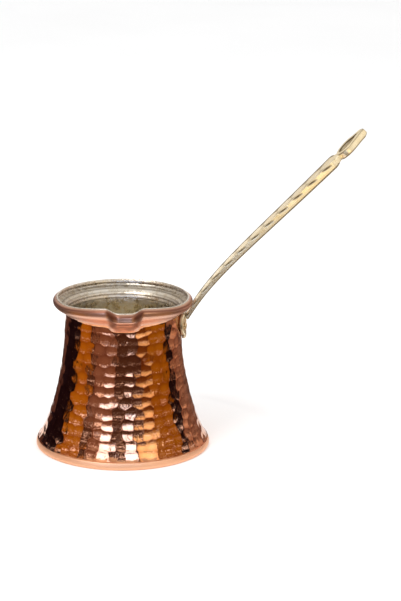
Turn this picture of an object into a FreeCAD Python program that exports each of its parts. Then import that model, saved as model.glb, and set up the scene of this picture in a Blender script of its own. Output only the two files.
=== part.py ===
"""Turkish coffee pot (cezve): hammered copper pot, tinned inside, cast brass handle riveted on.

Millimetres, +Z up. The origin is on the pot's axis, on the plane that it stands on.
The handle leaves towards +X. The pouring spout faces -Y, a little off square, as it was hammered.
"""
import FreeCAD, Part
import math
import os

V = FreeCAD.Vector

# ---- pot: outside of the copper, as radius and height ----
BASE_EDGE = [(44.3, 0.0), (44.85, 0.4), (45.0, 1.2), (44.3, 3.6)]
WALL_FLARE = [(43.9, 3.8), (41.4, 8.5), (38.2, 16.5), (35.2, 26.5),
              (32.6, 38.5), (30.7, 52.5), (29.8, 65.3)]
COLLAR = [(29.9, 70.5), (30.9, 72.4), (33.6, 74.0), (35.3, 75.3), (35.9, 76.7), (35.4, 78.0)]
LIP = (34.3, 78.6)
WALL = 1.2
FLOOR = 1.6
LIP_ROUND = 0.35
LIP_CROWN = 0.05
FLOOR_CORNER = 0.6
FLOOR_SPREAD = 0.1

# ---- pouring spout and the rise of the rim on either side of it ----
SPOUT_AZIMUTH = -88.5
SPOUT_FOOT_HALF_WIDTH = 8.6
SPOUT_LIP_HALF_WIDTH = 10.2
SPOUT_FLAT_SHARE = 0.25
SPOUT_REACH = 5.2
SPOUT_FOOT_Z = 67.6
SPOUT_FULL_Z = 73.7
SPOUT_LIP_SAG = 1.2
RIM_RISE = 2.9
RIM_RISE_HALF_ANGLE = 70.0
RIM_RISE_FOOT_Z = 71.3

# ---- tin coat on the inside ----
TIN = 0.25
TIN_GAP = 0.04
TIN_TOP_ROUND = 0.1

# ---- handle: palmette plate, shank, hanging eye ----
PALMETTE_TOP_Z = 70.3
PALMETTE_TIP_Z = 56.3
PALMETTE_HALF_WIDTH = 7.6
PALMETTE_THICK = 2.5
NECK_MARGIN = 2.0
SEAT_GAP = 0.06
SHANK_LINE = [(32.6, 67.8), (38.4, 77.1), (46.5, 87.8), (62.0, 104.7), (87.2, 129.9), (108.8, 151.7)]
SHANK_WIDTH = (6.6, 12.0)
SHANK_THICK = (2.0, 4.2)
SHANK_THICK_POWER = 0.75
SHANK_BEVEL = 0.22
SHANK_SHARES = [i / 12 for i in range(12)] + [0.965, 0.985, 0.996]
SHOULDER_SHARE = 0.955
SHOULDER_THINNING = 0.3
NECK_WIDTH = 6.4
NECK_THICK = 3.2
NECK_LENGTH = 3.2
EYE_LENGTH = 19.0
EYE_RADIUS = 6.9
EYE_TIP_RADIUS = 2.2
EYE_STRAP = 2.4
EYE_THICK = 3.6
EYE_ANGLE = 46.5
EYE_OFFSET = 0.6
EYE_HOLE_TIP_RADIUS = 0.6

# ---- rivets ----
RIVET_Z = 64.6
RIVET_AZIMUTH = 9.3
RIVET_RADIUS = 1.3
RIVET_CLEARANCE = 0.05
RIVET_HEAD_RADIUS = 2.1
RIVET_HEAD_HEIGHT = 0.7
RIVET_TAIL_RADIUS = 2.5
RIVET_TAIL_HEIGHT = 0.8
RIVET_TAIL_TAPER = 0.5
HEAD_SEAT = 0.14
TAIL_SEAT = 0.32

# ---- how far cutting tools reach: from inside the neck, out through wall and plate ----
INSIDE_REACH = 24.0
THROUGH_REACH = 16.0

# ---- how finely curves are sampled ----
RING_POINTS = 144
BASE_POINTS = 12
PROFILE_POINTS = 72


def smooth_step(t):
    t = min(max(t, 0.0), 1.0)
    return t * t * (3.0 - 2.0 * t)


def curve_through(points):
    curve = Part.BSplineCurve()
    curve.interpolate([V(x, 0, z) for x, z in points])
    return curve


def samples(curve, count):
    """Points spread evenly along a curve, as (radius, height) pairs with the normal on its right."""
    out = []
    for value in curve.discretize(Number=count):
        tangent = curve.tangent(curve.parameter(value))[0]
        out.append((value.x, value.z, tangent.z, -tangent.x))
    return out


def wall_profile():
    """The outer side from the turned band up to the lip."""
    return samples(curve_through(WALL_FLARE + COLLAR + [LIP]), PROFILE_POINTS)


def outside_profile():
    """The copper's outer side: the base's turned band, then the wall up to the lip."""
    return samples(curve_through(BASE_EDGE), BASE_POINTS) + wall_profile()


def inward(distance, floor_z):
    """The wall moved inward along its normals, then run down to a flat floor with a softened corner."""
    moved = [(r - distance * nr, z - distance * nz) for r, z, nr, nz in wall_profile()]
    corner = moved[0][0] + FLOOR_SPREAD
    return [(corner - FLOOR_CORNER, floor_z), (corner, floor_z + FLOOR_CORNER)] + moved


def spout_channel(radius, height, turn):
    """1 along the spout's flat middle, falling in a soft step to 0 at its creases."""
    if math.cos(turn) <= 0.0:
        return 0.0
    share = smooth_step((height - SPOUT_FOOT_Z) / (LIP[1] - SPOUT_FOOT_Z))
    half_width = SPOUT_FOOT_HALF_WIDTH + (SPOUT_LIP_HALF_WIDTH - SPOUT_FOOT_HALF_WIDTH) * share
    across = abs(radius * math.sin(turn)) / half_width
    return 1.0 - smooth_step((across - SPOUT_FLAT_SHARE) / (1.0 - SPOUT_FLAT_SHARE))


def shaped(radius, height, azimuth):
    """One point of the sheet, with the rim's rise and the pouring spout worked into it."""
    turn = math.radians((azimuth - SPOUT_AZIMUTH + 180.0) % 360.0 - 180.0)
    channel = spout_channel(radius, height, turn)
    rise = 0.0
    half_angle = math.radians(RIM_RISE_HALF_ANGLE)
    if abs(turn) < half_angle:
        rise = RIM_RISE * math.cos(0.5 * math.pi * turn / half_angle) ** 2
    rise -= SPOUT_LIP_SAG * channel
    lift = rise * smooth_step((height - RIM_RISE_FOOT_Z) / (LIP[1] - RIM_RISE_FOOT_Z))
    foot = smooth_step((height - SPOUT_FOOT_Z) / (SPOUT_FULL_Z - SPOUT_FOOT_Z))
    reach = radius + SPOUT_REACH * channel * foot
    angle = math.radians(azimuth)
    return V(reach * math.cos(angle), reach * math.sin(angle), height + lift)


def skin(rings):
    """A smooth closed-round surface through rings of (radius, height), shaped at the spout."""
    poles = []
    for i in range(RING_POINTS):
        azimuth = 360.0 * i / RING_POINTS
        poles.append([shaped(r, z, azimuth) for r, z in rings])
    rows = len(rings)
    across_knots = list(range(rows - 2))
    across_mults = [4] + [1] * (rows - 4) + [4]
    around_knots = list(range(RING_POINTS + 1))
    around_mults = [1] * (RING_POINTS + 1)
    surface = Part.BSplineSurface()
    surface.buildFromPolesMultsKnots(poles, around_mults, across_mults,
                                     around_knots, across_knots, True, False, 3, 3)
    return surface


def sheet_solid(rings):
    """The solid inside one skin whose first and last rings are flat circles, closed by discs."""
    face = skin(rings).toShape()
    faces = [face]
    for height in (rings[0][1], rings[-1][1]):
        rim = [e for e in face.Edges if abs(e.BoundBox.ZMax - height) < 1e-6
               and abs(e.BoundBox.ZMin - height) < 1e-6]
        faces.append(Part.Face(Part.Wire(rim[:1])))
    shell = Part.makeShell(faces)
    shell.sewShape()
    solid = Part.makeSolid(shell)
    if solid.Volume < 0:
        solid.reverse()
    return solid


def lip_points(outer, inner):
    """A rounded edge from the outer side's top over to the inner side's top."""
    middle_z = 0.5 * (outer[1] + inner[1]) + LIP_ROUND
    points = []
    for share, crown in ((0.2, 0.0), (0.5, LIP_CROWN), (0.8, 0.0)):
        points.append((outer[0] + (inner[0] - outer[0]) * share, middle_z + crown))
    return points


def rivet_axis(side):
    """Where a rivet crosses the pot's wall, and the way that its head faces."""
    angle = math.radians(side * RIVET_AZIMUTH)
    return V(0, 0, RIVET_Z), V(math.cos(angle), math.sin(angle), 0)


def rivet_hole(side):
    start, way = rivet_axis(side)
    inside = start + way * INSIDE_REACH
    return Part.makeCylinder(RIVET_RADIUS + RIVET_CLEARANCE, THROUGH_REACH, inside, way)


def with_rivet_holes(solid):
    for side in (1, -1):
        solid = solid.cut(rivet_hole(side))
    return solid


def pot_body():
    """One sheet of copper: flat base, hammered wall, collar and spout."""
    outer = [(r, z) for r, z, nr, nz in outside_profile()]
    inner = inward(WALL, FLOOR)
    rings = outer + lip_points(outer[-1], inner[-1]) + inner[::-1]
    return with_rivet_holes(sheet_solid(rings))


def tin_lining():
    """The tin coat over the whole inside, from the floor to the lip."""
    back = inward(WALL + TIN_GAP, FLOOR + TIN_GAP)
    face = inward(WALL + TIN_GAP + TIN, FLOOR + TIN_GAP + TIN)
    top = (0.5 * (back[-1][0] + face[-1][0]), back[-1][1] + TIN_TOP_ROUND)
    rings = back + [top] + face[::-1]
    return with_rivet_holes(sheet_solid(rings))


def neck_shell(gap, thick):
    """A turned shell that hugs the neck below the collar, for cutting the palmette's faces."""
    low = PALMETTE_TIP_Z - NECK_MARGIN
    high = PALMETTE_TOP_Z + NECK_MARGIN
    neck = [p for p in outside_profile() if low < p[1] < high]
    inner = [(r + gap, z) for r, z, nr, nz in neck]
    outer = [(r + gap + thick, z) for r, z, nr, nz in neck]
    loop = [curve_through(inner).toShape(), curve_through(outer).toShape(),
            Part.makeLine(V(inner[0][0], 0, inner[0][1]), V(outer[0][0], 0, outer[0][1])),
            Part.makeLine(V(inner[-1][0], 0, inner[-1][1]), V(outer[-1][0], 0, outer[-1][1]))]
    face = Part.Face(Part.Wire(Part.sortEdges(loop)[0]))
    return face.revolve(V(0, 0, 0), V(0, 0, 1), 360)


def palmette_outline():
    """Half of a leaf, from its top's middle round to the tip: (across, height)."""
    w = PALMETTE_HALF_WIDTH
    top = PALMETTE_TOP_Z
    tip = PALMETTE_TIP_Z
    drop = top - tip
    return [(0.55 * w, top), (0.80 * w, top - 0.12 * drop), (w, top - 0.36 * drop),
            (0.86 * w, top - 0.60 * drop), (0.42 * w, top - 0.84 * drop), (0.0, tip)]


def palmette():
    """The leaf-shaped plate that lies on the neck."""
    side = palmette_outline()
    edges = []
    for sign in (1, -1):
        curve = Part.BSplineCurve()
        curve.interpolate([V(INSIDE_REACH, sign * y, z) for y, z in side])
        edges.append(curve.toShape())
    width, top = side[0]
    edges.append(Part.makeLine(V(INSIDE_REACH, width, top), V(INSIDE_REACH, -width, top)))
    prism = Part.Face(Part.Wire(Part.sortEdges(edges)[0])).extrude(V(THROUGH_REACH, 0, 0))
    return prism.common(neck_shell(SEAT_GAP, PALMETTE_THICK))


def bevelled_section(centre, along, width, thick):
    """An eight-sided section across the shank, square to its run."""
    up = V(-along.z, 0, along.x)
    side = V(0, 1, 0)
    bevel = SHANK_BEVEL * thick
    half_w = 0.5 * width
    half_t = 0.5 * thick
    corners = [(half_w - bevel, half_t), (half_w, half_t - bevel)]
    corners += [(y, -t) for y, t in corners[::-1]]
    corners += [(-y, t) for y, t in corners[::-1]]
    points = [centre + side * y + up * t for y, t in corners]
    return Part.makePolygon(points + points[:1])


def shank():
    """The bar: thin and narrow where it hugs the collar, wide and deep at its rounded shoulders."""
    line = curve_through(SHANK_LINE)
    sections = []
    for share in SHANK_SHARES:
        at = line.parameterAtDistance(share * line.length(), line.FirstParameter)
        centre = line.value(at)
        along = line.tangent(at)[0]
        width = SHANK_WIDTH[0] + (SHANK_WIDTH[1] - SHANK_WIDTH[0]) * share
        thick = SHANK_THICK[0] + (SHANK_THICK[1] - SHANK_THICK[0]) * share ** SHANK_THICK_POWER
        past = max(share - SHOULDER_SHARE, 0.0) / (1.0 - SHOULDER_SHARE)
        rounding = math.sqrt(1.0 - past ** 2)
        thinning = 1.0 - SHOULDER_THINNING * (1.0 - rounding)
        sections.append(bevelled_section(centre, along, width * rounding, thick * thinning))
    return Part.makeLoft(sections, True, False)


def droplet(big_radius, tip_radius, length, thick):
    """A flat drop along +X: a big round end at the origin's side, tapering to a small one."""
    reach = length - big_radius - tip_radius
    lean = math.asin((big_radius - tip_radius) / reach)
    big = V(big_radius, 0, 0)
    tip = V(big_radius + reach, 0, 0)
    way = V(math.sin(lean), math.cos(lean), 0)
    low = V(way.x, -way.y, 0)
    edges = [Part.Arc(big + low * big_radius, V(0, 0, 0), big + way * big_radius).toShape(),
             Part.makeLine(big + way * big_radius, tip + way * tip_radius),
             Part.Arc(tip + way * tip_radius, V(length, 0, 0), tip + low * tip_radius).toShape(),
             Part.makeLine(tip + low * tip_radius, big + low * big_radius)]
    face = Part.Face(Part.Wire(Part.sortEdges(edges)[0]))
    face.translate(V(0, 0, -0.5 * thick))
    return face.extrude(V(0, 0, thick))


def hanging_eye():
    """The short neck and the drop-shaped eye that end the handle."""
    hole_length = EYE_LENGTH - 2 * EYE_STRAP - EYE_TIP_RADIUS
    hole = droplet(EYE_RADIUS - EYE_STRAP, EYE_HOLE_TIP_RADIUS, hole_length, 3 * EYE_THICK)
    hole.translate(V(EYE_STRAP, 0, 0))
    eye = droplet(EYE_RADIUS, EYE_TIP_RADIUS, EYE_LENGTH, EYE_THICK).cut(hole)
    neck = Part.makeBox(NECK_LENGTH + EYE_STRAP, NECK_WIDTH, NECK_THICK,
                        V(-NECK_LENGTH, -0.5 * NECK_WIDTH, -0.5 * NECK_THICK))
    end = eye.fuse(neck.cut(hole))
    end.rotate(V(0, 0, 0), V(0, 1, 0), -EYE_ANGLE)
    x, z = SHANK_LINE[-1]
    lean = math.radians(EYE_ANGLE)
    end.translate(V(x + EYE_OFFSET * math.cos(lean), 0, z + EYE_OFFSET * math.sin(lean)))
    return end


def handle():
    """One brass casting: palmette, shank and eye."""
    casting = palmette().fuse([shank(), hanging_eye()]).removeSplitter()
    return with_rivet_holes(casting)


def rivet(side):
    """A brass rivet: low domed head on the palmette, hammered tail inside the pot."""
    start, way = rivet_axis(side)
    neck = min(outside_profile(), key=lambda p: abs(p[1] - RIVET_Z))[0]
    head_at = neck + SEAT_GAP + PALMETTE_THICK + HEAD_SEAT
    tail_at = neck - WALL - TIN_GAP - TIN - TAIL_SEAT
    stem = Part.makeCylinder(RIVET_RADIUS, head_at - tail_at, start + way * tail_at, way)
    dome_radius = (RIVET_HEAD_RADIUS ** 2 + RIVET_HEAD_HEIGHT ** 2) / (2 * RIVET_HEAD_HEIGHT)
    ball = Part.makeSphere(dome_radius, start + way * (head_at + RIVET_HEAD_HEIGHT - dome_radius))
    head = Part.makeCylinder(RIVET_HEAD_RADIUS, THROUGH_REACH, start + way * head_at, way)
    dome = ball.common(head)
    tail = Part.makeCone(RIVET_TAIL_RADIUS - RIVET_TAIL_TAPER, RIVET_TAIL_RADIUS, RIVET_TAIL_HEIGHT,
                         start + way * (tail_at - RIVET_TAIL_HEIGHT), way)
    return stem.fuse([dome, tail]).removeSplitter()


def main():
    os.makedirs("parts", exist_ok=True)
    pieces = {"pot_body": pot_body(), "tin_lining": tin_lining(), "handle": handle()}
    for number, side in enumerate((1, -1), start=1):
        pieces["rivet_%d" % number] = rivet(side)
    for name, shape in pieces.items():
        shape.exportStep("parts/%s.step" % name)
        box = shape.BoundBox
        print("%-11s solids %d valid %s volume %.0f mm3 box %.1f..%.1f %.1f..%.1f %.1f..%.1f" % (
            name, len(shape.Solids), shape.isValid(), shape.Volume,
            box.XMin, box.XMax, box.YMin, box.YMax, box.ZMin, box.ZMax))


main()
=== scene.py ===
"""Hammered copper cezve with a tinned inside and a cast brass handle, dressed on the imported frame."""

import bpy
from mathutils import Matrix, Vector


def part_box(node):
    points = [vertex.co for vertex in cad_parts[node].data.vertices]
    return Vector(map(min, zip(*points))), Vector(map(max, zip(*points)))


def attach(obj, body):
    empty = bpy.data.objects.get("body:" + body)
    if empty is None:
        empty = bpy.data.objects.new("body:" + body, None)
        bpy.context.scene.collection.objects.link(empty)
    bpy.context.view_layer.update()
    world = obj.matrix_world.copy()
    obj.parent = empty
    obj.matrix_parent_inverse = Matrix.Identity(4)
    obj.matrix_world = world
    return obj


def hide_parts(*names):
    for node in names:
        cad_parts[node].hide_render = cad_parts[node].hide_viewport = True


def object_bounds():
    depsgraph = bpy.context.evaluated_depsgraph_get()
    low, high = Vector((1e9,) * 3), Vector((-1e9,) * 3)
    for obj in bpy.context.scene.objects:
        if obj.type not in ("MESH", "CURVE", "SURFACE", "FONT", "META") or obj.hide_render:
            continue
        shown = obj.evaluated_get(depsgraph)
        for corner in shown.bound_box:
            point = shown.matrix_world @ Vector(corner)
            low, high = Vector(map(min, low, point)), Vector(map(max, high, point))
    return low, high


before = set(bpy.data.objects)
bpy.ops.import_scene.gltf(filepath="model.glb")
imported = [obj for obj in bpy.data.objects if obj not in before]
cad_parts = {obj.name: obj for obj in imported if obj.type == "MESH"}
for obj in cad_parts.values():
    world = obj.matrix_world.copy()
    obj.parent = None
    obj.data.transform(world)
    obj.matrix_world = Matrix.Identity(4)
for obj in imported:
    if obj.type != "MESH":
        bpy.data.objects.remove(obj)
CAD_BOX = [list(corner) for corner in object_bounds()]

import math

import bpy
import numpy as np
from mathutils import Quaternion, Vector

RNG = np.random.default_rng(7)

# ---- sizes, in millimetres of the drawing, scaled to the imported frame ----
POT_LOW, POT_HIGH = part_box("pot_body")
MM = POT_HIGH[0] / 45.0

BASE_EDGE = [(44.3, 0.0), (44.85, 0.4), (45.0, 1.2), (44.3, 3.6)]
WALL_FLARE = [(43.9, 3.8), (41.4, 8.5), (38.2, 16.5), (35.2, 26.5),
              (32.6, 38.5), (30.7, 52.5), (29.8, 65.3)]
COLLAR = [(29.9, 70.5), (30.9, 72.4), (33.6, 74.0), (35.3, 75.3), (35.9, 76.7), (35.4, 78.0)]
LIP = (34.3, 78.6)
WALL = 1.2
TIN = 0.3
FLOOR_Z = 1.9

SPOUT_AZIMUTH = -88.5
SPOUT_FOOT_HALF_WIDTH = 8.6
SPOUT_LIP_HALF_WIDTH = 10.2
SPOUT_FLAT_SHARE = 0.25
SPOUT_REACH = 5.2
SPOUT_FOOT_Z = 67.6
SPOUT_FULL_Z = 73.7
SPOUT_LIP_SAG = 1.2
SPOUT_FOLDS = [(75.3, 0.50, 0.75), (73.7, -0.45, 0.55), (70.6, -0.16, 0.45)]
RIM_RISE = 2.9
RIM_RISE_HALF_ANGLE = 70.0
RIM_RISE_FOOT_Z = 71.3

HAMMER_TOP_Z = 71.7
HAMMER_LOW_Z = 3.9
HAMMER_ROW = 5.4
HAMMER_PITCH = 5.2
HAMMER_FACE = 20.0
HAMMER_LENGTHWAYS = 30.0
HAMMER_SOFT = 0.020
HAMMER_RIDGE = 0.22
# How far blows stray: round in shares of the pitch, up in millimetres, and in slope.
HAMMER_STRAY_ROUND = 0.16
HAMMER_STRAY_UP = 0.38
HAMMER_TILT = 0.020
HAMMER_EXTRA = 0.05
HAMMER_REACH_UP = 6.5
HAMMER_REACH_ROUND = 9.0
POT_AROUND = 450
TIN_AROUND = 360
TIN_RING_WIDTH = 0.30
COLLAR_LINE_WIDTH = 0.22
# Heights of the collar's painted shade: where the spout's painted crease shade begins, the painted shadow
# line in the bead, and the shaded bead.
CREASE_LOW_Z = 69.5
BEAD_LINE_Z = 77.8
BEAD_LOW_Z = 76.0
BEAD_TOP_Z = 78.35
TIN_RINGS = [(77.3, 0.22), (76.2, 0.14), (75.0, 0.28), (73.6, 0.16), (72.3, 0.30), (70.6, 0.16)]
COLLAR_LINES = [(76.4, 0.05), (75.3, 0.06), (74.4, 0.05), (73.4, 0.06)]

PALMETTE_TOP_Z = 70.3
PALMETTE_TIP_Z = 56.3
PALMETTE_HALF_WIDTH = 7.6
PALMETTE_THICK = 2.5
SHANK_LINE = [(32.6, 67.8), (38.4, 77.1), (46.5, 87.8), (62.0, 104.7), (87.2, 129.9), (108.8, 151.7)]
SHANK_WIDTH = (6.6, 12.0)
SHANK_THICK = (2.0, 4.2)
SHANK_STATIONS = 950
SHANK_THICK_POWER = 0.75
SHOULDER_LENGTH = 3.8
SCALLOPS = 12
BEAD = 1.05
NOTCH_SHARE = 0.62
NOTCH_DEPTH = 0.10
NOTCH_WIDTH = 0.27
LEAF_HEIGHT = 0.16
SHOULDER_KEEP = 0.7
EYE_LENGTH = 19.0
EYE_RADIUS = 6.9
EYE_TIP_RADIUS = 2.2
EYE_STRAP = 2.4
EYE_THICK = 3.9
EYE_ANGLE = 46.5
EYE_OFFSET = 0.6
EYE_HOLE_TIP_RADIUS = 0.6
# The eye's neck: where it begins and how long it is, its half width and half depth at each end.
NECK_START = -3.2
NECK_LENGTH = 5.2
NECK_HALF_WIDTH = (5.2, 3.2)
NECK_HALF_DEPTH = (1.9, 1.6)
RIVET_Z = 64.6
RIVET_AZIMUTH = 9.3
RIVET_RADIUS = 1.3
RIVET_HEAD_RADIUS = 2.1
RIVET_HEAD_HEIGHT = 0.70
RIVET_TAIL_RADIUS = 2.5
RIVET_TAIL_HEIGHT = 0.80
HEAD_SEAT = 0.20
TAIL_SEAT = 0.61


# ---------------------------------------------------------------- curves and meshes
def smooth_step(t):
    t = np.clip(t, 0.0, 1.0)
    return t * t * (3.0 - 2.0 * t)


def spline(points, count):
    """A natural cubic spline through points, spaced by chord length, sampled evenly along its length."""
    p = np.array(points, float)
    t = np.concatenate([[0.0], np.cumsum(np.linalg.norm(np.diff(p, axis=0), axis=1))])
    n = len(p)
    h = np.diff(t)
    a = np.eye(n)
    b = np.zeros_like(p)
    for i in range(1, n - 1):
        a[i, i - 1:i + 2] = h[i - 1], 2 * (h[i - 1] + h[i]), h[i]
        b[i] = 6 * ((p[i + 1] - p[i]) / h[i] - (p[i] - p[i - 1]) / h[i - 1])
    bend = np.linalg.solve(a, b)

    def at(s):
        k = np.clip(np.searchsorted(t, s, side="right") - 1, 0, n - 2)
        left = (t[k + 1] - s)[:, None]
        right = (s - t[k])[:, None]
        hk = h[k][:, None]
        straight = (p[k] / hk - bend[k] * hk / 6) * left + (p[k + 1] / hk - bend[k + 1] * hk / 6) * right
        return straight + bend[k] * left ** 3 / (6 * hk) + bend[k + 1] * right ** 3 / (6 * hk)

    fine = at(np.linspace(0, t[-1], 40 * n))
    run = np.concatenate([[0.0], np.cumsum(np.linalg.norm(np.diff(fine, axis=0), axis=1))])
    even = np.linspace(0, run[-1], count)
    return np.stack([np.interp(even, run, fine[:, i]) for i in range(p.shape[1])], 1)


def normals_2d(profile):
    """The outward side of a profile that climbs, as unit (radius, height) vectors."""
    along = np.gradient(profile, axis=0)
    along /= np.linalg.norm(along, axis=1, keepdims=True)
    return np.stack([along[:, 1], -along[:, 0]], 1)


def wall_profile(count):
    return spline(WALL_FLARE + COLLAR + [LIP], count)


def turn_from_spout(azimuth):
    return np.radians((azimuth - SPOUT_AZIMUTH + 180.0) % 360.0 - 180.0)


def spout_channel(radius, height, turn):
    """1 along the spout's flat middle, falling in a soft step to 0 at its creases."""
    share = smooth_step((height - SPOUT_FOOT_Z) / (LIP[1] - SPOUT_FOOT_Z))
    half_width = SPOUT_FOOT_HALF_WIDTH + (SPOUT_LIP_HALF_WIDTH - SPOUT_FOOT_HALF_WIDTH) * share
    across = np.abs(radius * np.sin(turn)) / half_width
    channel = 1.0 - smooth_step((across - SPOUT_FLAT_SHARE) / (1.0 - SPOUT_FLAT_SHARE))
    return np.where(np.cos(turn) > 0.0, channel, 0.0)


def shaped(radius, height, azimuth):
    """Points of the sheet in metres, with the rim's rise and the pouring spout worked into it."""
    turn = turn_from_spout(azimuth)
    channel = spout_channel(radius, height, turn)
    half_angle = math.radians(RIM_RISE_HALF_ANGLE)
    rise = np.where(np.abs(turn) < half_angle, RIM_RISE * np.cos(0.5 * np.pi * turn / half_angle) ** 2, 0.0)
    rise = rise - SPOUT_LIP_SAG * channel
    lift = rise * smooth_step((height - RIM_RISE_FOOT_Z) / (LIP[1] - RIM_RISE_FOOT_Z))
    foot = smooth_step((height - SPOUT_FOOT_Z) / (SPOUT_FULL_Z - SPOUT_FOOT_Z))
    folds = sum(size * np.exp(-((height - z) / spread) ** 2) for z, size, spread in SPOUT_FOLDS)
    reach = radius + (SPOUT_REACH * foot + folds) * channel
    angle = np.radians(azimuth)
    return np.stack([reach * np.cos(angle), reach * np.sin(angle), height + lift], -1) * MM


def mesh_object(name, points, faces, smooth=True):
    mesh = bpy.data.meshes.new(name)
    mesh.from_pydata([tuple(p) for p in points], [], faces)
    mesh.validate()
    mesh.update()
    if smooth:
        mesh.polygons.foreach_set("use_smooth", [True] * len(mesh.polygons))
    piece = bpy.data.objects.new(name, mesh)
    bpy.context.scene.collection.objects.link(piece)
    return piece


def grid_faces(rows, columns, closed_columns, offset=0):
    """Quads over a grid of points in row order."""
    faces = []
    last = columns if closed_columns else columns - 1
    for i in range(rows - 1):
        for j in range(last):
            k = (j + 1) % columns
            faces.append((offset + i * columns + j, offset + i * columns + k,
                          offset + (i + 1) * columns + k, offset + (i + 1) * columns + j))
    return faces


def paint(piece, name, values):
    """Keeps one number per point on the mesh, for its material to read."""
    layer = piece.data.color_attributes.new(name, "FLOAT_COLOR", "POINT")
    v = np.clip(np.asarray(values, float), 0, 1)
    layer.data.foreach_set("color", np.stack([v, v, v, np.ones_like(v)], 1).ravel())


# ---------------------------------------------------------------- materials
class Nodes:
    """A short way to add nodes to one material."""

    def __init__(self, name):
        self.material = bpy.data.materials.new(name)
        self.material.use_nodes = True
        self.tree = self.material.node_tree
        self.shader = self.tree.nodes["Principled BSDF"]
        self.place = self.add("ShaderNodeTexCoord").outputs["Object"]

    def add(self, kind, inputs=None, **settings):
        node = self.tree.nodes.new(kind)
        for key, value in settings.items():
            setattr(node, key, value)
        for key, value in (inputs or {}).items():
            if isinstance(value, bpy.types.NodeSocket):
                self.tree.links.new(value, node.inputs[key])
            else:
                node.inputs[key].default_value = value
        return node

    def noise(self, scale, detail=4.0, rough=0.55, vector=None):
        return self.add("ShaderNodeTexNoise", {"Vector": vector or self.place, "Scale": scale,
                                               "Detail": detail, "Roughness": rough}).outputs["Fac"]

    def stretched(self, x, y, z):
        return self.add("ShaderNodeMapping", {"Vector": self.place, "Scale": (x, y, z)}).outputs["Vector"]

    def ramp(self, fac, stops):
        node = self.add("ShaderNodeValToRGB", {"Fac": fac})
        ends = node.color_ramp.elements
        while len(ends) < len(stops):
            ends.new(0.5)
        for end, (position, colour) in zip(ends, stops):
            end.position = position
            end.color = (*colour, 1.0) if len(colour) == 3 else colour
        return node.outputs["Color"]

    def span(self, value, low, high):
        """A value of 0 to 1 spread over another range."""
        return self.add("ShaderNodeMapRange", {"Value": value, "To Min": low,
                                               "To Max": high}).outputs["Result"]

    def step(self, value, low, high):
        """0 below one value, 1 above another."""
        return self.add("ShaderNodeMapRange", {"Value": value, "From Min": low,
                                               "From Max": high}).outputs["Result"]

    def maths(self, operation, a, b):
        return self.add("ShaderNodeMath", {0: a, 1: b}, operation=operation).outputs["Value"]

    def height(self):
        return self.add("ShaderNodeSeparateXYZ", {"Vector": self.place}).outputs["Z"]

    def mix(self, fac, a, b, blend="MIX"):
        node = self.tree.nodes.new("ShaderNodeMix")
        node.data_type = "RGBA"
        node.blend_type = blend
        for key, value in (("Factor", fac), ("A", a), ("B", b)):
            index = {"Factor": 0, "A": 6, "B": 7}[key]
            if isinstance(value, bpy.types.NodeSocket):
                self.tree.links.new(value, node.inputs[index])
            elif key == "Factor":
                node.inputs[index].default_value = value
            else:
                node.inputs[index].default_value = (*value, 1.0)
        return node.outputs[2]

    def bump(self, height, strength, distance, normal=None):
        inputs = {"Height": height, "Strength": strength, "Distance": distance}
        if normal is not None:
            inputs["Normal"] = normal
        return self.add("ShaderNodeBump", inputs).outputs["Normal"]

    def attribute(self, name):
        return self.add("ShaderNodeVertexColor", layer_name=name).outputs["Color"]

    def finish(self, colour, roughness, normal, metallic=1.0):
        self.shader.inputs["Metallic"].default_value = metallic
        self.tree.links.new(colour, self.shader.inputs["Base Color"])
        self.tree.links.new(roughness, self.shader.inputs["Roughness"])
        self.tree.links.new(normal, self.shader.inputs["Normal"])
        return self.material


def hammered_copper():
    n = Nodes("hammered_copper")
    low = n.attribute("hollow")
    cloud = n.noise(55.0, 3.0)
    warm = n.ramp(cloud, [(0.35, (0.90, 0.42, 0.21)), (0.65, (0.97, 0.52, 0.30))])
    # Painted shade: the copper is mixed towards dark brown where the hammer marks are shallow, so the ridges
    # between the blows come out darker and the floors of the marks stay warm.
    colour = n.mix(n.span(low, 0.60, 0.0), warm, (0.45, 0.13, 0.05))
    fine = n.noise(900.0, 2.0)
    dents = n.noise(420.0, 2.0, 0.5)
    rough = n.span(n.noise(160.0, 4.0), 0.05, 0.14)
    normal = n.bump(dents, 0.16, 0.00045)
    normal = n.bump(fine, 0.08, 0.0001, normal)
    return n.finish(colour, rough, normal)


def turned_copper():
    n = Nodes("turned_copper")
    rings = n.noise(1.0, 5.0, 0.6, n.stretched(25, 25, 1900))
    cloud = n.noise(45.0, 4.0)
    colour = n.ramp(cloud, [(0.3, (0.90, 0.55, 0.39)), (0.7, (0.97, 0.65, 0.48))])
    colour = n.mix(n.span(rings, 0.0, 0.60), colour, (0.46, 0.18, 0.10))
    height = n.height()
    wall = n.step(height, 0.004, 0.006)
    base = n.mix(n.span(rings, 0.0, 0.30), (0.94, 0.56, 0.35), (0.78, 0.38, 0.22))
    colour = n.mix(wall, base, colour)
    # Painted shade: darkened towards deep brown in the spout's creases and lightly over its belly, along a
    # shadow line in the bead and over the bead.
    colour = n.mix(n.attribute("painted_collar_shade"), colour, (0.20, 0.07, 0.04))
    rough = n.maths("ADD", n.span(rings, 0.28, 0.44), n.span(wall, 0.16, 0.0))
    normal = n.bump(rings, 0.35, 0.00014)
    normal = n.bump(cloud, 0.05, 0.0006, normal)
    return n.finish(colour, rough, normal, metallic=0.93)


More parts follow.
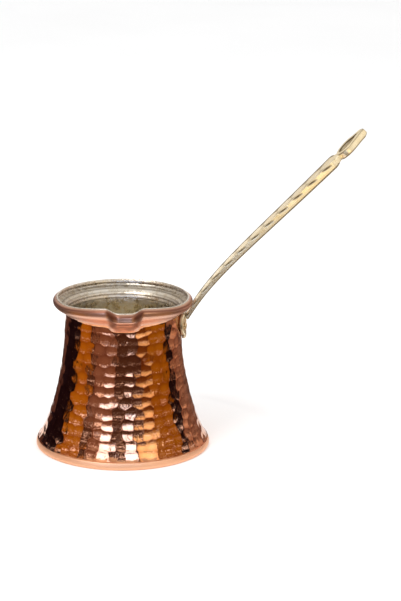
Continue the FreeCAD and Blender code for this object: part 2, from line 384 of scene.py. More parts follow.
def tin():
    n = Nodes("wiped_tin")
    rings = n.noise(1.0, 5.0, 0.6, n.stretched(14, 14, 1100))
    blots = n.noise(330.0, 5.0, 0.65)
    colour = n.ramp(blots, [(0.36, (0.58, 0.48, 0.31)), (0.50, (0.92, 0.84, 0.68)),
                            (0.62, (0.99, 0.95, 0.86))])
    height = n.height()
    flare = n.step(height, 0.066, 0.071)
    tone = n.mix(rings, (0.34, 0.29, 0.24), (0.86, 0.78, 0.68))
    colour = n.mix(n.maths("MULTIPLY", flare, 0.65), colour, tone)
    # Painted shadow: a dark line just under each turned step of the lining.
    colour = n.mix(n.attribute("ring_step_shadow"), colour, (0.16, 0.12, 0.08))
    rough = n.span(blots, 0.20, 0.36)
    normal = n.bump(rings, 0.45, 0.00030)
    normal = n.bump(blots, 0.50, 0.0006, normal)
    return n.finish(colour, rough, normal)


def cast_brass():
    n = Nodes("cast_brass")
    patina_and_painted_shade = n.attribute("patina_and_painted_shade")
    cloud = n.noise(120.0, 4.0)
    grain = n.noise(1600.0, 3.0)
    colour = n.ramp(cloud, [(0.3, (0.86, 0.69, 0.40)), (0.7, (0.97, 0.87, 0.63))])
    # Darker brass where painted: patina in the recesses, and painted shade and a painted reflection band
    # along edges and faces of the handle.
    colour = n.mix(patina_and_painted_shade, colour, (0.09, 0.055, 0.02))
    rough = n.maths("ADD", n.span(cloud, 0.20, 0.32), n.span(patina_and_painted_shade, 0.0, 0.35))
    normal = n.bump(grain, 0.10, 0.00008)
    normal = n.bump(cloud, 0.12, 0.0004, normal)
    return n.finish(colour, rough, normal, metallic=0.8)


def floor_white():
    n = Nodes("floor_white")
    cloud = n.noise(6.0, 3.0)
    colour = n.ramp(cloud, [(0.3, (0.93, 0.93, 0.93)), (0.7, (0.95, 0.95, 0.95))])
    rough = n.span(cloud, 0.55, 0.65)
    normal = n.bump(n.noise(400.0, 2.0), 0.02, 0.0002)
    return n.finish(colour, rough, normal, metallic=0.0)


# ---------------------------------------------------------------- the pot
def hammer_blows(low, top, run_at, radius_at):
    """Where each blow fell, row by row up the wall: run, turn, wall radius, depth and tilt."""
    blows = []
    rows = int(round((top - low) / HAMMER_ROW))
    for row in range(-1, rows + 2):
        run = low + (row + 0.5) * (top - low) / rows
        radius = np.interp(run, run_at, radius_at)
        count = int(round(2 * math.pi * radius / HAMMER_PITCH))
        start = RNG.uniform(0, 360)
        for k in range(count):
            turn = start + (k + RNG.normal(0, HAMMER_STRAY_ROUND)) * 360.0 / count
            blows.append((run + RNG.normal(0, HAMMER_STRAY_UP), turn % 360.0, radius,
                          RNG.uniform(0.0, HAMMER_EXTRA), RNG.normal(0, HAMMER_TILT),
                          RNG.normal(0, HAMMER_TILT)))
    return blows


def hammered(run, turn, radius, blows):
    """How high each point lies over the blows' floors: hollows overlap, and ridges stay soft."""
    total = np.zeros(run.shape)
    for at, angle, blow_radius, extra, tilt_up, tilt_round in blows:
        rows = np.where(np.abs(run[:, 0] - at) < HAMMER_REACH_UP)[0]
        if not len(rows):
            continue
        reach = math.degrees(HAMMER_REACH_ROUND / blow_radius)
        columns = np.where(np.abs((turn[0] - angle + 180.0) % 360.0 - 180.0) < reach)[0]
        part = np.ix_(rows, columns)
        around = np.radians((turn[part] - angle + 180.0) % 360.0 - 180.0) * radius[part]
        up = run[part] - at
        height = up ** 2 / (2 * HAMMER_FACE) + around ** 2 / (2 * HAMMER_LENGTHWAYS) - extra
        height = height + tilt_up * up + tilt_round * around
        total[part] += np.exp(-height / HAMMER_SOFT)
    return -HAMMER_SOFT * np.log(np.maximum(total, 1e-9))


def copper_pot(materials):
    """The whole copper sheet as seen from outside: base, hammered wall, collar, spout and lip edge."""
    around = POT_AROUND
    wall = wall_profile(190)
    edge = spline(BASE_EDGE, 14)
    under = np.stack([np.linspace(0.4, BASE_EDGE[0][0], 14), np.zeros(14)], 1)
    lip = np.array([(LIP[0] - 0.16, LIP[1] + 0.20), (LIP[0] - 0.40, LIP[1] + 0.28)])
    profile = np.concatenate([under[:-1], edge, wall, lip])
    sides = normals_2d(profile)
    first_wall = len(under) - 1 + len(edge)
    last_wall = first_wall + len(wall)
    azimuth = np.linspace(0, 360, around, endpoint=False)
    height = np.repeat(profile[:, 1:2], around, 1)
    radius = np.repeat(profile[:, 0:1], around, 1)
    turn = np.repeat(azimuth[None, :], len(profile), 0)
    run = np.concatenate([[0], np.cumsum(np.linalg.norm(np.diff(profile, axis=0), axis=1))])
    low = np.interp(HAMMER_LOW_Z, wall[:, 1], run[first_wall:last_wall])
    top = np.interp(HAMMER_TOP_Z, wall[:, 1], run[first_wall:last_wall])
    blows = hammer_blows(low, top, run, profile[:, 0])
    run = np.repeat(run[:, None], around, 1)
    zone = slice(first_wall, last_wall)
    depth = np.zeros(run.shape)
    over = np.clip(hammered(run[zone], turn[zone], radius[zone], blows), -0.1, HAMMER_RIDGE)
    depth[zone] = HAMMER_RIDGE - over
    channel = spout_channel(radius, height, turn_from_spout(turn))
    belly = channel * smooth_step((height - SPOUT_FOOT_Z - 0.6) / 1.6)
    plain = smooth_step((height - HAMMER_TOP_Z + 0.5) / 0.8) + smooth_step(belly * 5)
    plain = np.clip(plain + (height < HAMMER_LOW_Z - 0.1), 0, 1)
    depth *= 1.0 - plain
    lines = sum(size * np.exp(-((height - z) / COLLAR_LINE_WIDTH) ** 2) for z, size in COLLAR_LINES)
    total = depth + lines
    points = shaped(radius - total * sides[:, 0:1], height - total * sides[:, 1:2], turn)
    piece = mesh_object("copper_pot", points.reshape(-1, 3), grid_faces(len(profile), around, True))
    # The hollow attribute holds the depth into the hammer marks; the hammered copper reads it to paint shade
    # on the ridges between them.
    paint(piece, "hollow", np.clip(depth / 0.26, 0, 1).ravel())
    # Painted shade for the collar: in the spout's creases and lightly over its belly, a shadow line in the
    # bead, and shade over the bead.
    painted_collar_shade = (2.6 * channel * (1 - channel) + 0.10 * channel) * smooth_step((height - CREASE_LOW_Z) / 3.0)
    shadow_line = 0.85 * np.exp(-((height - BEAD_LINE_Z) / 0.30) ** 2)
    bead_shade = smooth_step((height - BEAD_LOW_Z) / 0.7) * (1 - smooth_step((height - BEAD_TOP_Z) / 0.2))
    bead_shade = 0.50 * bead_shade
    paint(piece, "painted_collar_shade", np.clip(painted_collar_shade + shadow_line + bead_shade, 0, 0.9).ravel())
    for material in materials:
        piece.data.materials.append(material)
    cells = 0.25 * (plain[:-1] + plain[1:] + np.roll(plain[:-1], -1, 1) + np.roll(plain[1:], -1, 1))
    piece.data.polygons.foreach_set("material_index", (cells > 0.5).astype(int).ravel())
    return piece


def tin_inside(material):
    """The tinned inside, from the middle of the floor up and over the lip."""
    around = TIN_AROUND
    outside = wall_profile(150)
    sides = normals_2d(outside)
    inner = outside - (WALL + TIN) * sides
    corner = inner[0, 0]
    floor = np.stack([np.linspace(0.4, corner - 0.9, 40), np.full(40, FLOOR_Z)], 1)
    bend = np.array([(corner - 0.15, FLOOR_Z + 0.3), (corner, FLOOR_Z + 1.0)])
    top = [(inner[-1, 0] + 0.10, inner[-1, 1] + 0.30), (LIP[0] - 0.95, LIP[1] + 0.36),
           (LIP[0] - 0.50, LIP[1] + 0.42), (LIP[0] - 0.12, LIP[1] + 0.30), (LIP[0] + 0.02, LIP[1] + 0.10)]
    profile = np.concatenate([floor, bend, inner, np.array(top)])
    azimuth = np.linspace(0, 360, around, endpoint=False)
    radius = np.repeat(profile[:, 0:1], around, 1)
    height = np.repeat(profile[:, 1:2], around, 1)
    turn = np.repeat(azimuth[None, :], len(profile), 0)
    steps = sum(size * np.exp(-((height - z) / TIN_RING_WIDTH) ** 2) for z, size in TIN_RINGS)
    waves = 0.07 * np.sin(height * 1.15 + 2 * np.sin(np.radians(turn) * 9)) * np.sin(np.radians(turn) * 34)
    waves = waves * (height > 4) * (height < 70)
    points = shaped(radius + waves - steps, height, turn)
    points = points[:, ::-1]
    piece = mesh_object("tin_inside", points.reshape(-1, 3), grid_faces(len(profile), around, True))
    # Painted shadow just under each turned step, for the tin to darken.
    under = sum(size * np.exp(-((height - z + 0.35) / 0.28) ** 2) for z, size in TIN_RINGS)
    paint(piece, "ring_step_shadow", (3.0 * under)[:, ::-1].ravel())
    piece.data.materials.append(material)
    return piece


# ---------------------------------------------------------------- the handle
def leaf_relief(cell, across):
    """Raised leaves along the shank's broad faces: cell runs 0..1 along one leaf, across -1..1."""
    u = 2 * cell - 1
    outline = 0.80 * np.clip(1 - np.abs(u) ** 2.2, 0, 1) ** 0.7 + 0.02
    inside = np.clip(1 - (across / outline) ** 2, 0, 1)
    rib = np.exp(-(across / 0.08) ** 2) * (np.abs(u) < 0.85)
    veins = 0.5 + 0.5 * np.cos(14 * (np.abs(across) * 0.9 + u))
    return inside ** 0.5 * (0.75 + 0.25 * veins) - 0.45 * rib


def shank_section():
    """Points round the bar in share of its half width and half thickness, with a small bevel."""
    flat = np.linspace(0.95, -0.95, 30)
    deep = np.linspace(0.88, -0.88, 22)
    one = np.ones
    y = np.concatenate([flat, -one(22), flat[::-1], one(22)])
    t = np.concatenate([one(30), deep, -one(30), deep[::-1]])
    return y, t


def brass_shank(material):
    """The cast bar: leaves in relief on its faces, slanted notches above, beaded edges below."""
    stations = SHANK_STATIONS
    line = spline(SHANK_LINE, stations)
    way = np.gradient(line, axis=0)
    way /= np.linalg.norm(way, axis=1, keepdims=True)
    share = np.linspace(0, 1, stations)
    length = np.linalg.norm(np.diff(line, axis=0), axis=1).sum()
    run = share * length
    end = np.clip((run - (length - SHOULDER_LENGTH)) / SHOULDER_LENGTH, 0, 1)
    rounding = np.sqrt(np.clip(1 - end ** 2, 0.0004, 1))
    half_w = 0.5 * (SHANK_WIDTH[0] + (SHANK_WIDTH[1] - SHANK_WIDTH[0]) * share) * rounding
    grown = share ** SHANK_THICK_POWER
    half_t = 0.5 * (SHANK_THICK[0] + (SHANK_THICK[1] - SHANK_THICK[0]) * grown)
    half_t = half_t * (SHOULDER_KEEP + (1 - SHOULDER_KEEP) * rounding)
    section_y, section_t = shank_section()
    around = len(section_y)
    y = np.repeat(section_y[None, :], stations, 0)
    t = np.repeat(section_t[None, :], stations, 0)
    cell = np.repeat((SCALLOPS * share ** 0.90 % 1.0)[:, None], around, 1)
    runs = np.repeat(run[:, None], around, 1)
    fade = np.repeat(rounding[:, None] > 0.75, around, 1)
    broad = np.abs(t) == 1.0
    side = np.abs(y) == 1.0
    relief = leaf_relief(cell, y) * broad
    margin = smooth_step((np.abs(y) - 0.80) / 0.08) * broad
    dash = np.clip(cell / NOTCH_SHARE, 0, 1)
    strength = np.sin(np.pi * dash) ** 0.6 * fade
    groove = np.exp(-((t - (0.86 - 0.50 * dash)) / NOTCH_WIDTH) ** 2) * strength * side
    top_edge = smooth_step((np.abs(y) - 0.86) / 0.08) * broad * (t > 0)
    groove_top = top_edge * np.clip(1 - 2.2 * dash, 0, 1) * strength
    beads = np.abs(np.sin(np.pi * runs / BEAD)) * fade
    low_edge = smooth_step((-t - 0.42) / 0.3) * side
    ticks = 0.5 + 0.5 * np.cos(2 * np.pi * runs / (2 * BEAD) + 1.4 * t)
    ticks = ticks * np.exp(-((t + 0.05) / 0.35) ** 2) * side * np.clip(1.25 - runs / 60.0, 0.15, 1)
    cut = NOTCH_DEPTH * groove + 0.10 * low_edge * (1 - beads) + 0.03 * ticks
    out_y = half_w[:, None] * y - np.sign(y) * cut
    lift = broad * (LEAF_HEIGHT * np.maximum(relief, margin) - LEAF_HEIGHT - NOTCH_DEPTH * groove_top)
    out_t = half_t[:, None] * t + np.sign(t) * lift
    up = np.stack([-way[:, 1], way[:, 0]], 1)
    x = line[:, 0:1] + up[:, 0:1] * out_t
    z = line[:, 1:2] + up[:, 1:2] * out_t
    points = np.stack([x, out_y, z], -1) * MM
    faces = [f[::-1] for f in grid_faces(stations, around, True)]
    faces.append(tuple(range(around)))
    faces.append(tuple((stations - 1) * around + k for k in range(around))[::-1])
    piece = mesh_object("brass_shank", points.reshape(-1, 3), faces)
    # Painted shade and reflection on the bar: darker between the leaves, in the notches and the ticks, along
    # the lower beaded edge, along the top of the sides, along the far edge of the broad faces only, and in a
    # painted reflection band a little below the middle of the sides.
    hollow = broad * (1 - np.clip(np.maximum(relief, margin) * 1.8, 0, 1)) * 0.45
    # Painted shade: a dark line along the top of the sides, and another along the far edge of the broad
    # faces, on that side only.
    outline = 0.6 * smooth_step((t - 0.80) / 0.06) * side
    outline = outline + 0.6 * smooth_step((y - 0.58) / 0.2) * broad
    painted_reflection_band = 0.20 * np.exp(-((t + 0.20) / 0.16) ** 2) * side
    shade = painted_reflection_band + hollow + groove + groove_top + 0.12 * ticks + outline
    shade = shade + low_edge * (0.72 + 0.28 * (1 - beads))
    paint(piece, "patina_and_painted_shade", np.clip(shade, 0, 1).ravel())
    piece.data.materials.append(material)
    return piece


def neck_radius(height):
    """The pot's outside radius at a height on the wall, in millimetres."""
    wall = wall_profile(400)
    return np.interp(height, wall[:, 1], wall[:, 0])


def brass_palmette(material):
    """The leaf-shaped plate on the neck, fanned with ribs that spread from under the shank."""
    rows, columns = 90, 81
    v = np.linspace(0, 1, rows)
    drop = PALMETTE_TOP_Z - PALMETTE_TIP_Z
    shape = spline([(0.55, 0.0), (0.80, 0.12), (1.0, 0.36), (0.86, 0.60), (0.42, 0.84), (0.0, 1.0)], 300)
    half = np.interp(v, shape[:, 1], shape[:, 0]) * PALMETTE_HALF_WIDTH
    lobes = 1 + 0.02 * np.cos(v * 5 * np.pi)
    u = np.linspace(-1, 1, columns)
    across = half[:, None] * lobes[:, None] * u[None, :]
    height = np.repeat((PALMETTE_TOP_Z - v * drop)[:, None], columns, 1)
    fan = np.arctan2(across, PALMETTE_TOP_Z + 3.0 - height)
    ribs = 0.5 + 0.5 * np.cos(fan * 13)
    edge = np.sqrt(np.clip(1 - np.abs(u[None, :]) ** 5, 0, 1))
    low_edge = np.sqrt(np.clip(1 - (v[:, None]) ** 12, 0, 1))
    rim = np.exp(-((np.abs(u[None, :]) - 0.84) / 0.09) ** 2)
    thick = PALMETTE_THICK * (0.25 + 0.75 * edge) * (0.35 + 0.65 * low_edge)
    thick = thick - (0.16 * (1 - ribs) * (1 - rim)) * edge * low_edge
    seat = neck_radius(height) + 0.10
    out = seat + thick
    turn = across / seat
    front = np.stack([out * np.cos(turn), out * np.sin(turn), height], -1)
    back = np.stack([seat * np.cos(turn), seat * np.sin(turn), height], -1)
    points = np.concatenate([front.reshape(-1, 3), back.reshape(-1, 3)]) * MM
    count = rows * columns
    faces = grid_faces(rows, columns, False)
    faces += [f[::-1] for f in grid_faces(rows, columns, False, count)]
    border = [j for j in range(columns)] + [i * columns + columns - 1 for i in range(1, rows)]
    border += [(rows - 1) * columns + j for j in range(columns - 2, -1, -1)]
    border += [i * columns for i in range(rows - 2, 0, -1)]
    for a, b in zip(border, border[1:] + border[:1]):
        faces.append((b, a, count + a, count + b))
    piece = mesh_object("brass_palmette", points, faces)
    # Painted shade on the plate: darker in the grooves between the ribs and along its two side edges, and
    # half dark over its back.
    groove = np.clip((1 - ribs) ** 2 * (1 - rim), 0, 1)
    outline = np.repeat(smooth_step((np.abs(u[None, :]) - 0.93) / 0.06), rows, 0)
    shade = np.clip(0.5 * groove + 0.5 * outline, 0, 1).ravel()
    paint(piece, "patina_and_painted_shade", np.concatenate([shade, np.full(count, 0.5)]))
    piece.data.materials.append(material)
    return piece


def droplet_line(big, tip, length, count):
    """A closed drop outline: a big round end at the start, a small one at the far end."""
    reach = length - big - tip
    lean = math.asin((big - tip) / reach)
    first = np.linspace(math.pi / 2 - lean, 1.5 * math.pi + lean, count)
    far = np.linspace(-math.pi / 2 + lean, math.pi / 2 - lean, count // 2)
    loop = [(big + big * math.cos(a), big * math.sin(a)) for a in first]
    loop += [(big + reach + tip * math.cos(a), tip * math.sin(a)) for a in far]
    loop = np.array(loop + loop[:1])
    run = np.concatenate([[0], np.cumsum(np.linalg.norm(np.diff(loop, axis=0), axis=1))])
    even = np.linspace(0, run[-1], 4 * count, endpoint=False)
    return np.stack([np.interp(even, run, loop[:, i]) for i in range(2)], 1)


def brass_eye(material):
    """The neck and the drop-shaped hanging eye, with a soft round section and a swollen tip."""
    outer = droplet_line(EYE_RADIUS, EYE_TIP_RADIUS, EYE_LENGTH, 48)
    hole_length = EYE_LENGTH - 2 * EYE_STRAP - EYE_TIP_RADIUS
    inner = droplet_line(EYE_RADIUS - EYE_STRAP, EYE_HOLE_TIP_RADIUS, hole_length, 48)
    inner = inner + np.array([EYE_STRAP, 0])
    middle = 0.5 * (outer + inner)
    half = 0.5 * (outer - inner)
    around = 28
    angle = np.linspace(0, 2 * np.pi, around, endpoint=False)
    c = np.sign(np.cos(angle)) * np.abs(np.cos(angle)) ** 0.45
    s = np.sign(np.sin(angle)) * np.abs(np.sin(angle)) ** 0.45
    swell = 1 + 0.16 * np.exp(-((middle[:, 0] - EYE_LENGTH + 2) / 3.0) ** 2)
    flat = middle[:, None, :] + half[:, None, :] * c[None, :, None]
    nub = 1 - 0.45 * smooth_step((outer[:, 0] - EYE_LENGTH + 1.6) / 1.6)
    thick = 0.5 * EYE_THICK * (swell * (0.55 + 0.45 * nub))[:, None] * s[None, :]
    neck_t = np.linspace(0, 1, 30)
    narrow = smooth_step(neck_t * 1.1)
    neck_half = NECK_HALF_WIDTH[0] + (NECK_HALF_WIDTH[1] - NECK_HALF_WIDTH[0]) * narrow
    neck_deep = NECK_HALF_DEPTH[0] + (NECK_HALF_DEPTH[1] - NECK_HALF_DEPTH[0]) * narrow
    neck = np.stack([np.repeat((NECK_START + NECK_LENGTH * neck_t)[:, None], around, 1),
                     neck_half[:, None] * c[None, :], neck_deep[:, None] * s[None, :]], -1)
    eye = np.concatenate([flat, thick[..., None]], -1)
    local = np.concatenate([eye.reshape(-1, 3), neck.reshape(-1, 3)])
    lean = math.radians(EYE_ANGLE)
    x0 = SHANK_LINE[-1][0] + EYE_OFFSET * math.cos(lean)
    z0 = SHANK_LINE[-1][1] + EYE_OFFSET * math.sin(lean)
    x = x0 + local[:, 0] * math.cos(lean) - local[:, 2] * math.sin(lean)
    z = z0 + local[:, 0] * math.sin(lean) + local[:, 2] * math.cos(lean)
    points = np.stack([x, local[:, 1], z], 1) * MM
    rings = len(outer)
    faces = []
    for i in range(rings):
        for j in range(around):
            k = (j + 1) % around
            n = (i + 1) % rings
            faces.append((i * around + j, n * around + j, n * around + k, i * around + k))
    faces += grid_faces(30, around, True, rings * around)
    piece = mesh_object("brass_eye", points, faces)
    # Painted shade on the eye: darker on the strap's inner side, in dark lines near its inner and outer
    # edges, and darker at the tip.
    shade = np.zeros(len(points))
    inner_side = np.repeat((c < -0.5)[None, :], rings, 0).ravel()
    outline = np.repeat((np.abs(np.abs(c) - 0.86) < 0.10)[None, :], rings, 0).ravel()
    tip = np.repeat((middle[:, 0] > EYE_LENGTH - 2.6)[:, None], around, 1).ravel()
    shade[:rings * around] = np.clip(0.35 * inner_side + 0.60 * outline + 0.45 * tip, 0, 1)
    paint(piece, "patina_and_painted_shade", shade)
    piece.data.materials.append(material)
    return piece


def brass_rivet(name, side, material):
    """A rivet with a low, lightly planished head outside and a flat hammered tail inside."""
    neck = neck_radius(np.array([RIVET_Z]))[0]
    seat = neck + PALMETTE_THICK + HEAD_SEAT
    back = neck - WALL - TAIL_SEAT
    profile = [(0.0, seat + RIVET_HEAD_HEIGHT)]
    profile += [(RIVET_HEAD_RADIUS * math.sin(a), seat + RIVET_HEAD_HEIGHT * math.cos(a))
                for a in np.linspace(0.2, 0.5 * math.pi, 9)]
    profile += [(RIVET_RADIUS, seat - 0.05), (RIVET_RADIUS, back + 0.05),
                (RIVET_TAIL_RADIUS - 0.05, back), (RIVET_TAIL_RADIUS, back - 0.25),
                (RIVET_TAIL_RADIUS - 0.3, back - 0.62), (1.4, back - 0.76), (0.0, back - RIVET_TAIL_HEIGHT)]
    around = 40
    turn = math.radians(side * RIVET_AZIMUTH)
    way = np.array([math.cos(turn), math.sin(turn), 0])
    across = np.array([-math.sin(turn), math.cos(turn), 0])
    points = []
    for radius, reach in profile:
        for k in range(around):
            a = 2 * math.pi * k / around
            knock = 1 + 0.025 * math.sin(3 * a + reach)
            offset = across * radius * knock * math.cos(a) + np.array([0, 0, radius * knock * math.sin(a)])
            points.append((way * reach + offset + np.array([0, 0, RIVET_Z])) * MM)
    piece = mesh_object(name + "_brass", points, grid_faces(len(profile), around, True))
    paint(piece, "patina_and_painted_shade", np.zeros(len(points)))
    piece.data.materials.append(material)
    return piece


# ---------------------------------------------------------------- studio
def emission(name, build):
    material = bpy.data.materials.new(name)
    material.use_nodes = True
    tree = material.node_tree
    tree.nodes.clear()
    out = tree.nodes.new("ShaderNodeOutputMaterial")
    glow = tree.nodes.new("ShaderNodeEmission")
    tree.links.new(glow.outputs[0], out.inputs[0])
    build(tree, glow)
    return material


BLACK = (0.012, 0.006, 0.010)
GOLD = (0.42, 0.19, 0.012)
GOLD_RIGHT = (0.33, 0.15, 0.008)
BROWN = (0.075, 0.04, 0.03)
WARM = (0.80, 0.66, 0.40)
WHITE = (2.4, 3.2, 5.0)
PALE = (1.0, 0.95, 0.90)
SKY = (0.74, 0.68, 0.62)
MAUVE = (0.23, 0.13, 0.10)
SPECK = (1.7, 1.7, 2.0)
BRIGHT_WARM = (1.55, 1.30, 0.85)

# The cards that glossy surfaces reflect, by direction from the pot: where each begins, and its colour.
HIGH_CARDS = [(-180, PALE), (-157, (0.16, 0.08, 0.06)), (-131, BLACK), (-90, GOLD), (-59, BROWN),
              (-50, MAUVE), (-31, WHITE), (-15, BROWN), (4, WHITE), (15, BROWN),
              (28, WARM), (50, GOLD_RIGHT), (84, BLACK),
              (99, (0.72, 0.50, 0.40)), (134, (0.60, 0.38, 0.28)), (157, PALE)]
LOW_CARDS = [(-180, PALE), (-157, (0.10, 0.05, 0.04)), (-131, BLACK), (-90, GOLD), (-59, BROWN), (-50, MAUVE),
             (-14, BROWN), (30, (0.16, 0.06, 0.012)), (48, GOLD_RIGHT), (84, BLACK), (99, (0.30, 0.18, 0.14)),
             (134, (0.22, 0.13, 0.10)), (157, PALE)]
# Strength of the brighter patch over the warm card, by the same directions.
WARM_PATCH = [(-180, (0.0,) * 3), (24, (1.0,) * 3), (50, (0.0,) * 3)]
# Where the dark dapples of the sides lie, by the same directions.
SIDE_DAPPLE = [(-180, (0.0,) * 3), (-160, (0.8,) * 3), (-128, (0.0,) * 3),
               (99, (0.6,) * 3), (157, (0.0,) * 3)]
DAPPLE = (0.045, 0.018, 0.016)
# How high over the floor the high cards begin, in metres, by the same directions.
CARD_LOW_END = [(-180, (0.022,) * 3), (-50, (0.063,) * 3), (28, (0.046,) * 3), (55, (0.024,) * 3)]
CARD_BLUR = 1.6
CARD_HEIGHT_BLUR = 0.010

# Heights over the floor, in metres, between which each further layer of the tent's glow sets in.
PATCH_HEIGHTS = (0.055, 0.090)
SPECK_HEIGHTS = (0.030, 0.060)
SKY_HEIGHTS = (0.130, 0.150)

# The tent itself, in metres: where its floor skirt begins, its wall, its top and its foot.
TENT_SKIRT = 0.085
TENT_RADIUS = 0.19
TENT_TOP = 0.30
TENT_FOOT = 0.0006
FLOOR_GAP = 0.00002


def card_colours(tree, fac, cards):
    """A colour ramp round the tent, with a soft edge between one card and the next."""
    ramp = tree.nodes.new("ShaderNodeValToRGB")
    tree.links.new(fac, ramp.inputs["Fac"])
    stops = [(-180.0, cards[0][1])]
    for (_, before), (edge, after) in zip(cards, cards[1:]):
        stops += [(edge - CARD_BLUR, before), (edge + CARD_BLUR, after)]
    ends = ramp.color_ramp.elements
    while len(ends) < len(stops):
        ends.new(0.5)
    for end, (degrees, colour) in zip(ends, stops):
        end.position = (degrees + 180.0) / 360.0
        end.color = (*colour, 1.0)
    return ramp.outputs["Color"]


def between(tree, value, low, high):
    """0 below one value, 1 above another."""
    node = tree.nodes.new("ShaderNodeMapRange")
    node.inputs["From Min"].default_value = low
    node.inputs["From Max"].default_value = high
    tree.links.new(value, node.inputs["Value"])
    return node.outputs["Result"]


def times(tree, a, b):
    node = tree.nodes.new("ShaderNodeMath")
    node.operation = "MULTIPLY"
    tree.links.new(a, node.inputs[0])
    tree.links.new(b, node.inputs[1])
    return node.outputs[0]


def mixed(tree, fac, under, colour):
    """A colour laid over another by a mask."""
    node = tree.nodes.new("ShaderNodeMix")
    node.data_type = "RGBA"
    tree.links.new(fac, node.inputs[0])
    tree.links.new(under, node.inputs[6])
    node.inputs[7].default_value = (*colour, 1.0)
    return node.outputs[2]


def warm_patch(tree, split, span):
    """The warm card glows more strongly high up."""
    high = between(tree, split.outputs["Z"], *PATCH_HEIGHTS)
    return times(tree, high, card_colours(tree, span.outputs["Result"], WARM_PATCH))


def speck_mask(tree, place, split):
    """Small bright flecks between the low cards and the sky, to sparkle in the hammer marks."""
    noise = tree.nodes.new("ShaderNodeTexNoise")
    noise.inputs["Scale"].default_value = 75.0
    noise.inputs["Detail"].default_value = 1.5
    tree.links.new(place.outputs["Object"], noise.inputs["Vector"])
    spots = between(tree, noise.outputs["Fac"], 0.59, 0.68)
    return times(tree, spots, between(tree, split.outputs["Z"], *SPECK_HEIGHTS))


def dapple_mask(tree, place, span):
    """Dark dapples among the cards at the sides."""
    noise = tree.nodes.new("ShaderNodeTexNoise")
    noise.inputs["Scale"].default_value = 38.0
    noise.inputs["Detail"].default_value = 2.0
    tree.links.new(place.outputs["Object"], noise.inputs["Vector"])
    spots = between(tree, noise.outputs["Fac"], 0.50, 0.58)
    return times(tree, spots, card_colours(tree, span.outputs["Result"], SIDE_DAPPLE))


def tent_glow(tree, glow):
    """White strips, warm, gold, brown and black cards round the pot, with specks and dapples."""
    place = tree.nodes.new("ShaderNodeTexCoord")
    split = tree.nodes.new("ShaderNodeSeparateXYZ")
    tree.links.new(place.outputs["Object"], split.inputs[0])
    flip = tree.nodes.new("ShaderNodeMath")
    flip.operation = "MULTIPLY"
    flip.inputs[1].default_value = -1.0
    tree.links.new(split.outputs["Y"], flip.inputs[0])
    turn = tree.nodes.new("ShaderNodeMath")
    turn.operation = "ARCTAN2"
    tree.links.new(split.outputs["X"], turn.inputs[0])
    tree.links.new(flip.outputs[0], turn.inputs[1])
    span = tree.nodes.new("ShaderNodeMapRange")
    span.inputs["From Min"].default_value = -math.pi
    span.inputs["From Max"].default_value = math.pi
    tree.links.new(turn.outputs[0], span.inputs["Value"])
    high = card_colours(tree, span.outputs["Result"], HIGH_CARDS)
    low = card_colours(tree, span.outputs["Result"], LOW_CARDS)
    rise = tree.nodes.new("ShaderNodeMapRange")
    rise.inputs["From Min"].default_value = -CARD_HEIGHT_BLUR
    rise.inputs["From Max"].default_value = CARD_HEIGHT_BLUR
    over = tree.nodes.new("ShaderNodeMath")
    over.operation = "SUBTRACT"
    tree.links.new(split.outputs["Z"], over.inputs[0])
    tree.links.new(card_colours(tree, span.outputs["Result"], CARD_LOW_END), over.inputs[1])
    tree.links.new(over.outputs[0], rise.inputs["Value"])
    both = tree.nodes.new("ShaderNodeMix")
    both.data_type = "RGBA"
    tree.links.new(rise.outputs["Result"], both.inputs[0])
    tree.links.new(low, both.inputs[6])
    tree.links.new(high, both.inputs[7])
    patch = mixed(tree, warm_patch(tree, split, span), both.outputs[2], BRIGHT_WARM)
    dapple = mixed(tree, dapple_mask(tree, place, span), patch, DAPPLE)
    specks = mixed(tree, speck_mask(tree, place, split), dapple, SPECK)
    sky = between(tree, split.outputs["Z"], *SKY_HEIGHTS)
    tree.links.new(mixed(tree, sky, specks, SKY), glow.inputs["Color"])


def light_tent():
    """A round tent of coloured cards with a skirt over the floor. Only glossy reflections see it."""
    around = 128
    points = []
    for radius, z in ((TENT_SKIRT, TENT_FOOT), (TENT_RADIUS, TENT_FOOT), (TENT_RADIUS, TENT_TOP)):
        for k in range(around):
            a = 2 * math.pi * k / around
            points.append((radius * math.cos(a), radius * math.sin(a), z))
    tent = mesh_object("light_tent", points, grid_faces(3, around, True), smooth=False)
    tent.data.materials.append(emission("tent_cards", tent_glow))
    for ray in ("camera", "diffuse", "shadow", "transmission", "volume_scatter"):
        setattr(tent, "visible_" + ray, False)


def area_light(name, place, aim, size, power, colour=(1, 1, 1)):
    data = bpy.data.lights.new(name, "AREA")
    data.shape = "RECTANGLE"
    data.size, data.size_y = size
    data.energy = power
    data.color = colour
    lamp = bpy.data.objects.new(name, data)
    lamp.location = place
    lamp.rotation_euler = (Vector(aim) - Vector(place)).to_track_quat("-Z", "Y").to_euler()
    lamp.visible_camera = False
    bpy.context.scene.collection.objects.link(lamp)
    return lamp


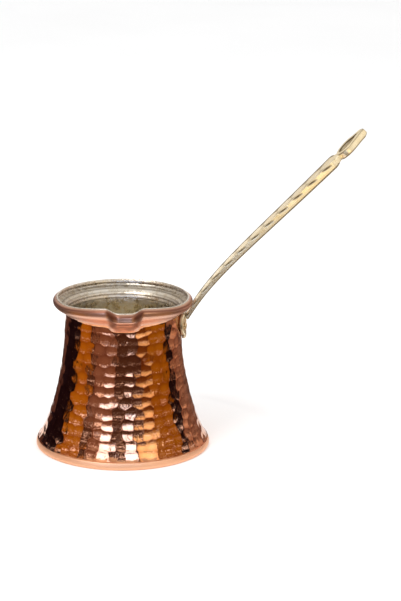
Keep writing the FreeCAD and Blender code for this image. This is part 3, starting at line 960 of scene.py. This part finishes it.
def studio():
    """White world, pale floor, two soft lamps and the tent of cards, which isn't plain light."""
    scene = bpy.context.scene
    scene.view_settings.view_transform = "Standard"
    world = bpy.data.worlds.new("studio_world")
    scene.world = world
    world.use_nodes = True
    world.node_tree.nodes["Background"].inputs["Color"].default_value = (1, 1, 1, 1)
    world.node_tree.nodes["Background"].inputs["Strength"].default_value = 1.0
    floor = mesh_object("floor", [(-9, -9, 0), (9, -9, 0), (9, 9, 0), (-9, 9, 0)], [(0, 1, 2, 3)])
    floor.location.z = POT_LOW[2] - FLOOR_GAP
    floor.data.materials.append(floor_white())
    light_tent()
    area_light("key", (-0.55, -0.6, 0.95), (0, 0, 0.05), (0.5, 0.5), 6.0)
    area_light("fill", (0.8, -0.5, 0.7), (0, 0, 0.06), (0.6, 0.6), 3.0)


# Metres from the middle of the CAD box, degrees, metres and millimetres.
CAMERA_AIM = (0.00056, 0.0, -0.00702)
CAMERA_AZIMUTH = -2.05
CAMERA_ELEVATION = 15.765
CAMERA_ROLL = 0.582
CAMERA_DISTANCE = 1.1685
CAMERA_LENS = 136.092


def camera():
    """Looks at the object from the front, a little above and left of square, rolled a touch."""
    low, high = (Vector(c) for c in CAD_BOX)
    centre = (low + high) / 2
    aim = centre + Vector(CAMERA_AIM)
    azimuth, elevation = math.radians(CAMERA_AZIMUTH), math.radians(CAMERA_ELEVATION)
    distance = CAMERA_DISTANCE
    back = Vector((math.sin(azimuth) * math.cos(elevation), -math.cos(azimuth) * math.cos(elevation),
                   math.sin(elevation)))
    data = bpy.data.cameras.new("camera")
    data.lens = CAMERA_LENS
    data.sensor_width = 36.0
    eye = bpy.data.objects.new("camera", data)
    eye.location = aim + back * distance
    level = (-back).to_track_quat("-Z", "Y")
    eye.rotation_euler = (level @ Quaternion((0, 0, 1), math.radians(CAMERA_ROLL))).to_euler()
    bpy.context.scene.collection.objects.link(eye)
    bpy.context.scene.camera = eye


# ---------------------------------------------------------------- put together
def place(piece, nodes, slot):
    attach(piece, "root")
    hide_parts(*nodes)


def main():
    copper = hammered_copper()
    satin = turned_copper()
    brass = cast_brass()
    place(copper_pot([copper, satin]), ["pot_body"], "copper")
    place(tin_inside(tin()), ["tin_lining"], "tin")
    for piece in (brass_shank(brass), brass_palmette(brass), brass_eye(brass)):
        place(piece, ["handle"], "cast_brass")
    for number, side in enumerate((1, -1), start=1):
        name = "rivet_%d" % number
        place(brass_rivet(name, side, brass), [name], "rivet_brass")
    studio()
    camera()


main()
